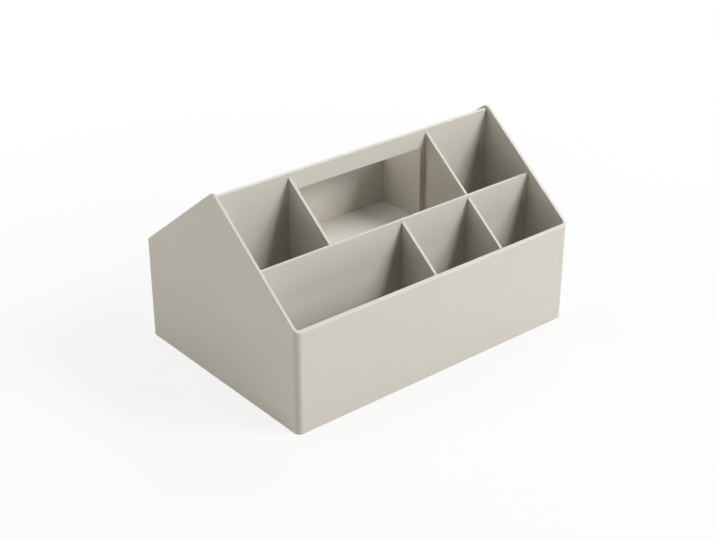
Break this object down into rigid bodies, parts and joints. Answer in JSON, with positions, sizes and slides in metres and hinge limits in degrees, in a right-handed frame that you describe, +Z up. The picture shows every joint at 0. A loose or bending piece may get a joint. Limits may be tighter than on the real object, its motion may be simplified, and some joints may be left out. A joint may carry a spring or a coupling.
{
  "type": "tool box",
  "caption": "Open gabled carry box for tools, moulded in matte plastic, with upright dividers, a raised middle tray and a hand opening under its ridge.",
  "frame": {"origin": "middle of the base, on the surface that the box stands on", "axes": "+X along the ridge to the right, +Y from the front to the back, +Z up"},
  "size_m": [0.33, 0.232, 0.1894],
  "materials": {
    "shell_plastic": "fine matte moulding texture, warm light grey",
    "divider_plastic": "fine matte moulding texture, warm light grey",
    "tray_plastic": "fine matte moulding texture, warm light grey"
  },
  "bodies": {
    "root": {"outer_shell": "shell_plastic", "handle_spine": "divider_plastic", "front_long_divider": "divider_plastic", "rear_long_divider": "divider_plastic", "front_left_divider": "divider_plastic", "front_right_divider": "divider_plastic", "rear_left_divider": "divider_plastic", "rear_right_divider": "divider_plastic", "front_row_centre_divider": "divider_plastic", "front_row_right_divider": "divider_plastic", "raised_tray": "tray_plastic"}
  },
  "joints": []
}
